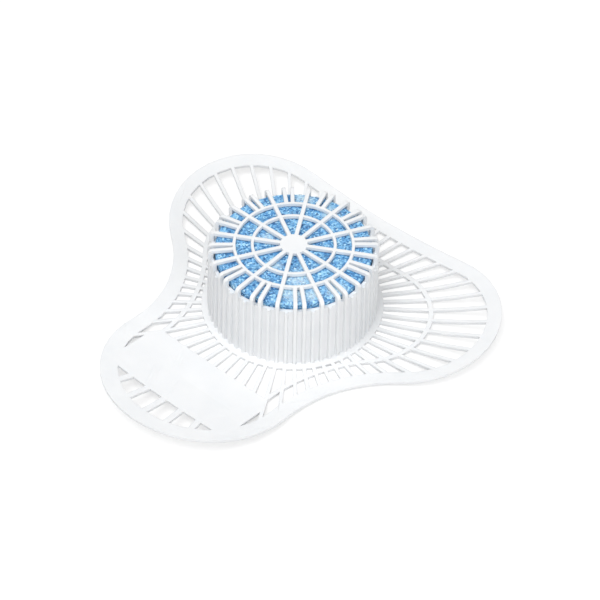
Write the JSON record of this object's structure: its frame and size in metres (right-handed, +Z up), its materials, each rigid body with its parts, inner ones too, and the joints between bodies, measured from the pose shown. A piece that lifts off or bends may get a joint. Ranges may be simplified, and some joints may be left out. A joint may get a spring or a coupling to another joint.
{
  "type": "urinal deodorizer screen",
  "caption": "Three-lobed slotted drain mat moulded with a ribbed round cage and a wheel-shaped lid grid, which holds a round deodorizer block over a urinal drain.",
  "frame": {"origin": "centre of the outline, on the plane that the foot of the cage stands on", "axes": "+Z up along the cage axis, -Y from the cage towards the tab, +X to the right when the tab points at the viewer"},
  "size_m": [0.1748, 0.1733, 0.038],
  "materials": {
    "white_plastic": "satin moulded",
    "block": "pressed crystals"
  },
  "bodies": {
    "root": {"screen": "white_plastic", "deodorizer_block": "block"}
  },
  "joints": []
}
